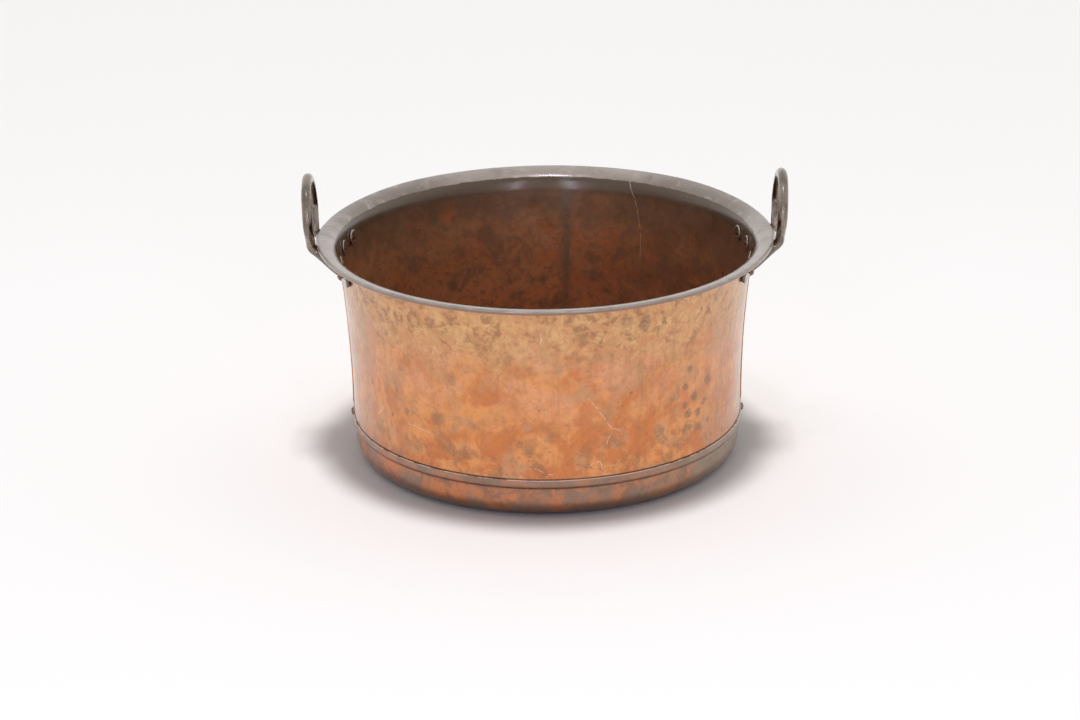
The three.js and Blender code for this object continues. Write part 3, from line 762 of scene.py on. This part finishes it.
# Rim wire. Drawn iron wire, bent to a ring and closed inside the rolled edge, which it stiffens.
# It is dark, with rust in patches, and shows only where the roll gapes.
IRON = "#4b4846"
IRON_RUST = "#6d4a35"
WIRE_POINTS = 240
WIRE_SLACK = 0.8  # share of the wire's radius that is drawn, so that it lies loose in the dented roll


def drawn_iron():
    material, shader, spot = start_metal("drawn iron wire", 0.55)
    colour = lay(IRON, IRON_RUST, cloud(spot, 8.0, 0.45, 0.65, 0.8, 41.0))
    finish_metal(shader, spot, colour, 1.0, 0.03)
    return material


def wire_ring(material):
    """A wire of a thickness along a closed line."""
    tree, sizes = start_tree("wire ring", Float=("Wire Radius",))
    ring = add_node(tree, "GeometryNodeMeshToCurve", {0: sizes["Geometry"]})
    section = add_node(
        tree, "GeometryNodeCurvePrimitiveCircle", {"Resolution": 10, "Radius": sizes["Wire Radius"]}
    )
    wire = add_node(tree, "GeometryNodeCurveToMesh", {"Curve": ring, "Profile Curve": section})
    return end_tree(tree, wire.outputs[0], material)


around_rim = np.linspace(-math.pi, math.pi, WIRE_POINTS, endpoint=False)
ring_radius = wire_centre[0] - rim_pinch(around_rim)
ring_height = np.full_like(around_rim, wire_centre[1])
ring_points = np.stack(
    [ring_radius * np.sin(around_rim), -ring_radius * np.cos(around_rim), ring_height], axis=-1
)
rim_wire = add_piece("rim_wire_iron", line_mesh("rim_wire_iron", ring_points, closed=True))
grow(rim_wire, wire_ring(drawn_iron()), {"Wire Radius": WIRE_SLACK * WIRE_RADIUS * MM})
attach(rim_wire, "root")
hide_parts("rim_wire")

# Handles. Each is one bronze bar, thickest at the grip, bent to a loop that stands above the rim,
# turned in under the rolled edge and spread into two palms riveted to the neck.
HANDLE_RISE = 82.5
GRIP_RADIUS = 6.25
LEG_RADIUS = 6.1
LOOP_HALF_WIDTH = 50.0
WAIST_HALF_WIDTH = 35.0
HANDLE_LEAN = 4.3
LEG_INSET = 1.2
BEND_INSET = 1.6
PALM_START = 24.0
PALM_END = 102.0
PALM_HEIGHT = 21.0
PALM_THICKNESS = 5.0
PALM_EDGE = 1.6
RIVET_DROP = 29.0
RIVET_NEAR = 33.0
RIVET_FAR = 76.0
BAR_SIDES = 28
BAR_RINGS = 260
CAST_PROUD = 0.25  # how much thicker the bar is where it isn't worn
WEAR = 0.2
WEAR_SPACING = 13  # rings from one worn place to the next
HANDLE_VOXEL = 1.0

palm_height = RIM_HEIGHT - RIVET_DROP
neck_radius = WALL_RADIUS + WALL_FLARE + (palm_height - neck_height) * flare_slope


def wall_outside(height):
    """The radius of the wall's outside face at a height, up to the bend of the flange."""
    share = np.clip((height - FLARE_START) / flare_height, 0.0, 1.0)
    above_neck = np.maximum(height - neck_height, 0.0)
    return WALL_RADIUS + WALL_FLARE * share**FLARE_POWER + above_neck * flare_slope


def wall_face(sideways, height):
    """A point on the wall's outside face near the neck, on the right side, and the way out of it."""
    radius = wall_outside(height)
    angle = np.arcsin(sideways / radius)
    out = np.stack([np.cos(angle), np.sin(angle), np.full_like(angle, -flare_slope)], axis=-1)
    out = out / np.linalg.norm(out, axis=-1, keepdims=True)
    face = np.stack([radius * np.cos(angle), radius * np.sin(angle), height + 0.0 * angle], axis=-1)
    return face, out


def off_the_wall(points):
    """Points of a right-hand handle, pushed out where they would lie inside the wall."""
    face = wall_outside(points[:, 2]) + CLEARANCE
    reach = np.maximum(face / np.hypot(points[:, 0], points[:, 1]), 1.0)
    return points * np.stack([reach, reach, np.ones_like(reach)], axis=-1)


def handle_route():
    """Points along the middle of the bar, from one palm over the grip to the other."""
    leg_x = math.sqrt(RIM_RADIUS**2 - WAIST_HALF_WIDTH**2) + LEG_RADIUS + 2 * CLEARANCE - LEG_INSET
    grip_top = RIM_HEIGHT + HANDLE_RISE - GRIP_RADIUS
    arch = grip_top - LOOP_HALF_WIDTH
    half = []
    for degrees in (30, 60, 90):
        angle = math.radians(degrees)
        height = arch + LOOP_HALF_WIDTH * math.cos(angle)
        lean = HANDLE_LEAN * (height - RIM_HEIGHT) / (grip_top - RIM_HEIGHT)
        half.append((leg_x + lean, LOOP_HALF_WIDTH * math.sin(angle), height))
    half.append((leg_x, WAIST_HALF_WIDTH + LEG_RADIUS / 2, RIM_HEIGHT + LEG_RADIUS))
    bend_side = WAIST_HALF_WIDTH - LEG_RADIUS / 4
    half.append((leg_x - BEND_INSET, bend_side, wire_centre[1] - LEG_RADIUS / 2))
    under = np.array([
        math.sqrt(wire_centre[0]**2 - WAIST_HALF_WIDTH**2) - BEND_INSET,
        WAIST_HALF_WIDTH,
        wire_centre[1] - roll_radius - LEG_RADIUS - 4 * CLEARANCE,
    ])
    palm_middle = (RIVET_NEAR + RIVET_FAR) / 2
    face = neck_radius + CLEARANCE + PALM_THICKNESS
    landing_x = math.sqrt((face + LEG_RADIUS / 3)**2 - palm_middle**2)
    landing = np.array([landing_x, palm_middle, palm_height + LEG_RADIUS / 3])
    half.extend([under, under + 0.45 * (landing - under), landing])
    end_side = palm_middle + PALM_HEIGHT / 3
    end_x = math.sqrt((face - PALM_THICKNESS / 2)**2 - end_side**2)
    half.append((end_x, end_side, palm_height))
    mirrored = [(x, -y, z) for x, y, z in reversed(half)]
    return np.array([*mirrored, (leg_x + HANDLE_LEAN, 0.0, grip_top), *half])


def smooth_route(points, count):
    """A centripetal Catmull-Rom curve through points, as evenly spaced points."""
    gaps = np.linalg.norm(np.diff(points, axis=0), axis=1)**0.5
    padded = np.concatenate([[2 * points[0] - points[1]], points, [2 * points[-1] - points[-2]]])
    knots = np.concatenate([[-gaps[0]], [0.0], np.cumsum(gaps), [np.sum(gaps) + gaps[-1]]])
    fine = []
    for i in range(1, len(padded) - 2):
        t = np.linspace(knots[i], knots[i + 1], 40, endpoint=False)[:, None]
        curves = padded[i - 1:i + 3]
        for starts, reach in (((i - 1, i, i + 1), 1), ((i - 1, i), 2), ((i,), 1)):
            curves = [
                ((knots[s + reach] - t) * low + (t - knots[s]) * high) / (knots[s + reach] - knots[s])
                for s, low, high in zip(starts, curves[:-1], curves[1:])
            ]
        fine.append(curves[0])
    fine = np.concatenate([*fine, [points[-1]]])
    along = np.concatenate([[0.0], np.cumsum(np.linalg.norm(np.diff(fine, axis=0), axis=1))])
    even = np.linspace(0.0, along[-1], count)
    return np.stack([np.interp(even, along, fine[:, axis]) for axis in range(3)], axis=-1)


def ring_faces(rings, sides):
    """Quads between rings of points, and a face over each end."""
    faces = []
    for i in range(rings - 1):
        for k in range(sides):
            n = (k + 1) % sides
            faces.append((i * sides + k, i * sides + n, (i + 1) * sides + n, (i + 1) * sides + k))
    faces.append(tuple(range(sides))[::-1])
    faces.append(tuple((rings - 1) * sides + k for k in range(sides)))
    return faces


def bar_mesh():
    """The bar as a closed tube that grows thicker towards the grip and is worn here and there."""
    route = smooth_route(handle_route(), BAR_RINGS)
    ahead = np.gradient(route, axis=0)
    ahead = ahead / np.linalg.norm(ahead, axis=1, keepdims=True)
    outward = np.cross(ahead, np.cross(np.array([1.0, 0.0, 0.0]), ahead) + 1e-6)
    outward = outward / np.linalg.norm(outward, axis=1, keepdims=True)
    across = np.cross(ahead, outward)
    grip = ease(route[:, 2], RIM_HEIGHT, RIM_HEIGHT + HANDLE_RISE / 2)
    worn_places = np.arange(0, BAR_RINGS, WEAR_SPACING)
    worn = np.random.default_rng(6).uniform(0.0, 1.0, len(worn_places))
    worn = np.interp(np.arange(BAR_RINGS), worn_places, worn)
    radius = LEG_RADIUS + (GRIP_RADIUS - LEG_RADIUS) * grip + CAST_PROUD - WEAR * worn
    turns = np.linspace(0.0, 2.0 * math.pi, BAR_SIDES, endpoint=False)[None, :, None]
    ring = np.cos(turns) * outward[:, None] + np.sin(turns) * across[:, None]
    points = route[:, None] + radius[:, None, None] * ring
    return points.reshape(-1, 3), ring_faces(BAR_RINGS, BAR_SIDES)


def palm_mesh(side):
    """One palm: a rounded slab with soft edges that follows the neck's curve."""
    end = PALM_HEIGHT / 2
    outline = []
    for centre, start in ((PALM_END - end, -90.0), (PALM_START + end, 90.0)):
        outline.append(on_circle(np.array([centre, 0.0]), end, np.linspace(start, start + 180.0, 17)))
    outline = np.concatenate(outline)
    middle = np.clip(outline[:, 0], PALM_START + end, PALM_END - end)
    levels = [
        (0.0, 0.6), (0.0, PALM_THICKNESS - PALM_EDGE), (0.5, PALM_THICKNESS - 0.5),
        (PALM_EDGE, PALM_THICKNESS),
    ]
    rings = []
    for inset, depth in levels:
        shrink = 1.0 - inset / end
        sideways = middle + (outline[:, 0] - middle) * shrink
        face, out = wall_face(side * sideways, palm_height + outline[:, 1] * shrink)
        rings.append(face + out * (CLEARANCE + depth))
    faces = ring_faces(len(levels), len(outline))
    if side < 0:
        faces = [face[::-1] for face in faces]
    return np.concatenate(rings), faces


# Brown patinated bronze: cast bar, worn smooth by hands. It gives the eye a glossy grey-brown with
# darker and warmer clouds, and painted shade on the parts that lie below the rolled edge.
BRONZE = "#8a7e71"
BRONZE_DARK_AND_SHADE = "#564b42"
BRONZE_WARM = "#8d715b"


def patinated_bronze():
    material, shader, spot = start_metal("brown patinated bronze", 0.3)
    height = axes_of(spot)[2]
    colour = lay(BRONZE, BRONZE_DARK_AND_SHADE, cloud(spot, 30.0, 0.42, 0.62, 0.7, 51.0))
    colour = lay(colour, BRONZE_WARM, cloud(spot, 14.0, 0.55, 0.72, 0.5, 52.0))
    # painted shade on the parts below the rolled edge
    colour = lay(colour, BRONZE_DARK_AND_SHADE, between(height, 275.0, 296.0, 0.55, 0.0))
    dull = cloud(spot, 12.0, 0.3, 0.7, 0.16, 53.0, least=0.17)
    finish_metal(shader, spot, colour, 5.0, 0.04, Roughness=dull)
    return material


bronze = patinated_bronze()
SIDES = (("right", 0.0), ("left", math.pi))
for side_name, turn_about in SIDES:
    parts = [bar_mesh(), palm_mesh(1), palm_mesh(-1)]
    starts = np.cumsum([0] + [len(points) for points, faces in parts])
    points = off_the_wall(np.concatenate([points for points, faces in parts]))
    faces = [
        tuple(v + int(start) for v in face) for start, (_, some) in zip(starts, parts) for face in some
    ]
    name = f"handle_{side_name}_bronze"
    mesh = bpy.data.meshes.new(name)
    mesh.from_pydata((points * MM).tolist(), [], faces)
    mesh.transform(Matrix.Rotation(turn_about, 4, "Z"))
    mesh.materials.append(bronze)
    handle = add_piece(name, mesh)
    merged = handle.modifiers.new("one casting", "REMESH")
    merged.mode = "VOXEL"
    merged.voxel_size = HANDLE_VOXEL * MM
    soft = handle.modifiers.new("worn smooth", "SMOOTH")
    soft.factor = 0.5
    soft.iterations = 12
    bake_modifiers(handle, 80.0)
    if not handle.data.materials:
        handle.data.materials.append(bronze)
    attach(handle, "root")
    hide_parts(f"handle_{side_name}")

# Rivets and washers. Copper rivets with domed heads outside: two through each palm and one at the
# foot of each side seam. Inside, their ends are hammered flat over round washers.
SHANK_RADIUS = 3.4
HEAD_RADIUS = 6.0
HEAD_HEIGHT = 4.0
DISC_RADIUS = 10.5
DISC_THICKNESS = 1.6
DISC_EDGE_RADIUS = 0.5
DISC_RUB = (DISC_RADIUS - 1.9, DISC_RADIUS - 1.3)
SEAM_RIVET_HEIGHT = 49.0
SEAM_HEAD_RADIUS = 5.5
SEAM_HEAD_HEIGHT = 3.4
RIVET_TAIL = 2.6  # how far the shank reaches past the washer
SEAM_TAIL = 3.0  # and past the wall, at a seam

RIVET = "#6f5c4f"
RIVET_WARM = "#8d5f45"
RIVET_DARK = "#463c35"


def rivet_copper():
    """Hammered copper in warm and dark clouds. It gives the eye small brown domes."""
    material, shader, spot = start_metal("hammered rivet copper", 0.4)
    colour = lay(RIVET, RIVET_WARM, cloud(spot, 7.0, 0.45, 0.6, 0.9, 61.0))
    colour = lay(colour, RIVET_DARK, cloud(spot, 5.0, 0.5, 0.66, 0.8, 62.0))
    finish_metal(shader, spot, colour, 2.0, 0.1)
    return material


# Washer copper: the same dark skin as the pot's inside, with a paler rubbed ring along its edge.
DISC = "#7d5a43"
DISC_WARM = "#8f5f42"
DISC_EDGE = "#a8a294"


def washer_copper():
    material, shader, spot = start_metal("washer copper", 0.35, metallic=0.6)
    colour = lay(DISC, DISC_WARM, cloud(spot, 7.0, 0.45, 0.6, 0.9, 63.0))
    colour = lay(colour, RIVET_DARK, cloud(spot, 4.0, 0.5, 0.7, 0.5, 64.0))
    reach = add_node(spot.id_data, "ShaderNodeAttribute", attribute_name="from_hole").outputs["Fac"]
    colour = lay(colour, DISC_EDGE, between(reach, DISC_RUB[0] * MM, DISC_RUB[1] * MM), 0.85)
    finish_metal(shader, spot, colour, 2.0, 0.1)
    return material


def set_on_points(tree, sizes, fastener, scale=(1.0, 1.0, 1.0)):
    """Copies of a fastener on the points of the piece, each aimed along its point's outward arrow."""
    outward = add_node(
        tree, "GeometryNodeInputNamedAttribute", {"Name": "outward"}, data_type="FLOAT_VECTOR"
    )
    aim = add_node(tree, "FunctionNodeAlignRotationToVector", {"Vector": outward}, axis="Z")
    points = add_node(tree, "GeometryNodeMeshToPoints", {0: sizes["Geometry"]})
    return add_node(tree, "GeometryNodeInstanceOnPoints", {
        0: points, "Instance": fastener, "Rotation": aim, "Scale": scale,
    }).outputs[0]


def riveting(material):
    """A rivet at each point: a domed head on a shank, each a little different in size."""
    tree, sizes = start_tree(
        "riveting", Float=("Head Radius", "Head Height", "Shank Radius", "Shank Length"), Int=("Seed",)
    )
    ball = add_node(
        tree, "GeometryNodeMeshUVSphere", {"Segments": 24, "Rings": 16, "Radius": sizes["Head Radius"]}
    )
    x, y, height = axes_of(add_node(tree, "GeometryNodeInputPosition"))
    squash = calc("DIVIDE", sizes["Head Height"], sizes["Head Radius"])
    domed = product(calc("MAXIMUM", height, 0.0), squash)
    dome_place = add_node(tree, "ShaderNodeCombineXYZ", {0: x, 1: y, 2: domed})
    dome = add_node(tree, "GeometryNodeSetPosition", {0: ball, "Position": dome_place})
    dome = add_node(tree, "GeometryNodeMergeByDistance", {0: dome, "Distance": 0.01 * MM})
    shank = add_node(
        tree, "GeometryNodeMeshCylinder",
        {"Vertices": 20, "Radius": sizes["Shank Radius"], "Depth": sizes["Shank Length"]},
    )
    sink = add_node(tree, "ShaderNodeCombineXYZ", {2: product(sizes["Shank Length"], -0.45)})
    sunk = add_node(tree, "GeometryNodeTransform", {0: shank, "Translation": sink})
    whole = add_node(tree, "GeometryNodeMeshBoolean", {1: dome}, operation="UNION")
    tree.links.new(sunk.outputs[0], whole.inputs[1])
    size = add_node(
        tree, "FunctionNodeRandomValue", {2: 0.93, 3: 1.0, "Seed": sizes["Seed"]}, data_type="FLOAT"
    )
    rivets = set_on_points(tree, sizes, whole.outputs[0], size.outputs[1])
    return end_tree(tree, rivets, material)


def washering(material):
    """A round washer with soft edges at each point. It keeps how far a place is from the hole."""
    tree, sizes = start_tree(
        "washers", Float=("Outer Radius", "Hole Radius", "Thickness", "Edge Radius")
    )
    width = calc("SUBTRACT", sizes["Outer Radius"], sizes["Hole Radius"])
    both = calc("ADD", sizes["Outer Radius"], sizes["Hole Radius"])
    section = add_node(
        tree, "GeometryNodeCurvePrimitiveQuadrilateral",
        {"Width": width, "Height": sizes["Thickness"]},
    )
    rounded = add_node(tree, "GeometryNodeFilletCurve", {0: section, "Radius": sizes["Edge Radius"]})
    ring = add_node(
        tree, "GeometryNodeCurvePrimitiveCircle",
        {"Resolution": 40, "Radius": product(both, 0.5)},
    )
    washer = add_node(tree, "GeometryNodeCurveToMesh", {"Curve": ring, "Profile Curve": rounded})
    place = add_node(tree, "GeometryNodeInputPosition").outputs[0]
    from_hole = vector_calc("LENGTH", vector_calc("MULTIPLY", place, (1.0, 1.0, 0.0)))
    washer = add_node(
        tree, "GeometryNodeStoreNamedAttribute",
        {0: washer, "Name": "from_hole", "Value": from_hole},
        data_type="FLOAT", domain="POINT",
    )
    return end_tree(tree, set_on_points(tree, sizes, washer.outputs[0]), material)


def station_points(name, stations):
    """A mesh of loose points in mm, each with its outward arrow."""
    mesh = bpy.data.meshes.new(name)
    mesh.from_pydata([tuple(c * MM for c in point) for point, out in stations], [], [])
    arrows = mesh.attributes.new("outward", "FLOAT_VECTOR", "POINT")
    for item, (point, out) in zip(arrows.data, stations):
        item.vector = out
    return mesh


def rivet_stations(lift, turn_about):
    """Places and outward arrows of one handle's four rivets, lifted off the wall's outside face."""
    spin = Matrix.Rotation(turn_about, 3, "Z")
    stations = []
    for sideways in (-RIVET_FAR, -RIVET_NEAR, RIVET_NEAR, RIVET_FAR):
        face, out = wall_face(np.array([sideways]), np.array([palm_height]))
        stations.append((spin @ Vector(face[0] + lift * out[0]), spin @ Vector(out[0])))
    return stations


rivet_tree = riveting(rivet_copper())
washer_tree = washering(washer_copper())
head_seat = 2 * CLEARANCE + PALM_THICKNESS
disc_seat = SHEET + 2 * CLEARANCE + DISC_THICKNESS / 2
for side_name, turn_about in SIDES:
    name = f"handle_rivets_{side_name}"
    rivets = add_piece(name, station_points(name, rivet_stations(head_seat, turn_about)))
    grow(rivets, rivet_tree, {
        "Head Radius": HEAD_RADIUS * MM, "Head Height": HEAD_HEIGHT * MM,
        "Shank Radius": SHANK_RADIUS * MM,
        "Shank Length": (head_seat + SHEET + DISC_THICKNESS + RIVET_TAIL) * MM, "Seed": 3,
    }, 50.0)
    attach(rivets, "root")
    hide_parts(*[f"handle_rivet_{side_name}_{i}" for i in range(1, 5)])

    name = f"rivet_washers_{side_name}"
    washers = add_piece(name, station_points(name, rivet_stations(-disc_seat, turn_about)))
    grow(washers, washer_tree, {
        "Outer Radius": DISC_RADIUS * MM, "Hole Radius": (SHANK_RADIUS + 0.05) * MM,
        "Thickness": DISC_THICKNESS * MM, "Edge Radius": DISC_EDGE_RADIUS * MM,
    }, 60.0)
    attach(washers, "root")
    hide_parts(*[f"rivet_disc_{side_name}_{i}" for i in range(1, 5)])

lap_angle = math.asin((SEAM_BACK - SEAM_LAP / 2) / WALL_RADIUS)
for side_name, sign in (("right", 1.0), ("left", -1.0)):
    out = Vector((sign * math.cos(lap_angle), math.sin(lap_angle), 0.0))
    point = out * (lip_radius + CLEARANCE) + Vector((0.0, 0.0, SEAM_RIVET_HEIGHT))
    name = f"seam_rivet_{side_name}_copper"
    rivet = add_piece(name, station_points(name, [(point, out)]))
    grow(rivet, rivet_tree, {
        "Head Radius": SEAM_HEAD_RADIUS * MM, "Head Height": SEAM_HEAD_HEIGHT * MM,
        "Shank Radius": SHANK_RADIUS * MM, "Shank Length": (PAN_SHEET + SHEET + SEAM_TAIL) * MM,
        "Seed": 5,
    }, 50.0)
    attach(rivet, "root")
    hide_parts(f"seam_rivet_{side_name}")

# Floor and light. A plain pale floor in a plain pale room, which is brighter behind the pot than in
# front of it. One soft distant lamp overhead leaves the pot's narrow shadow, and three small lamps
# touch the handles and the edges.
FLOOR = "#f8f7f5"
FLOOR_HALF = 12.0
ROOM = "#fbfafa"
ROOM_IN_FRONT = 0.04
ROOM_BEHIND = 0.64
MIRRORED_IN_FRONT = 0.75
ROOM_TURN = (-0.8, 0.3)  # directions, from front to back, over which the room brightens
OVERHEAD_STRENGTH = 1.72
LAMP_COLOUR = "#ece4ff"
LAMP_AIM = Vector((0.0, 0.0, 0.3))

floor_mesh = bpy.data.meshes.new("floor")
corners = [(-1, -1), (1, -1), (1, 1), (-1, 1)]
floor_mesh.from_pydata([(FLOOR_HALF * x, FLOOR_HALF * y, 0.0) for x, y in corners], [], [(0, 1, 2, 3)])
floor = add_piece("floor", floor_mesh)
floor_paint = bpy.data.materials.new("matt white floor paint")
floor_paint.use_nodes = True
floor_shader = floor_paint.node_tree.nodes["Principled BSDF"]
floor_shader.inputs["Base Color"].default_value = linear(FLOOR)
floor_shader.inputs["Roughness"].default_value = 0.9
floor_shader.inputs["Specular IOR Level"].default_value = 0.1
floor.data.materials.append(floor_paint)

world = bpy.data.worlds.new("pale room")
bpy.context.scene.world = world
world.use_nodes = True
room = world.node_tree
sky = room.nodes["Background"]
sky.inputs["Color"].default_value = linear(ROOM)
path = add_node(room, "ShaderNodeLightPath").outputs
toward = axes_of(add_node(room, "ShaderNodeTexCoord").outputs["Object"])[1]
lit = between(toward, *ROOM_TURN, ROOM_IN_FRONT, ROOM_BEHIND)
mirrored = between(toward, *ROOM_TURN, MIRRORED_IN_FRONT, 1.0)
strength = add_node(room, "ShaderNodeMix", {0: path["Is Glossy Ray"], 2: lit, 3: mirrored})
strength = add_node(room, "ShaderNodeMix", {0: path["Is Camera Ray"], 2: strength, 3: 1.0})
room.links.new(strength.outputs[0], sky.inputs["Strength"])

overhead = bpy.data.objects.new("overhead lamp", bpy.data.lights.new("overhead lamp", "SUN"))
overhead.data.energy = OVERHEAD_STRENGTH
overhead.data.angle = math.radians(10.0)
overhead.rotation_euler = (math.radians(2.5), math.radians(1.0), 0.0)
overhead.visible_glossy = False
bpy.context.scene.collection.objects.link(overhead)

lamps = (
    ("left front window", (-0.9, -3.0, 1.2), (0.25, 1.7), 9.0),
    ("right front window", (0.9, -3.0, 1.2), (0.25, 1.7), 9.0),
    ("high lamp", (-0.1, -0.5, 2.6), (0.3, 0.3), 5.0),
)
for name, spot, size, power in lamps:
    lamp = bpy.data.objects.new(name, bpy.data.lights.new(name, "AREA"))
    lamp.data.shape = "RECTANGLE"
    lamp.data.size, lamp.data.size_y = size
    lamp.data.energy = power
    lamp.data.color = linear(LAMP_COLOUR)[:3]
    lamp.location = spot
    lamp.rotation_euler = (LAMP_AIM - Vector(spot)).to_track_quat("-Z", "Y").to_euler()
    bpy.context.scene.collection.objects.link(lamp)

bpy.context.scene.view_settings.view_transform = "Standard"

bpy.context.view_layer.update()
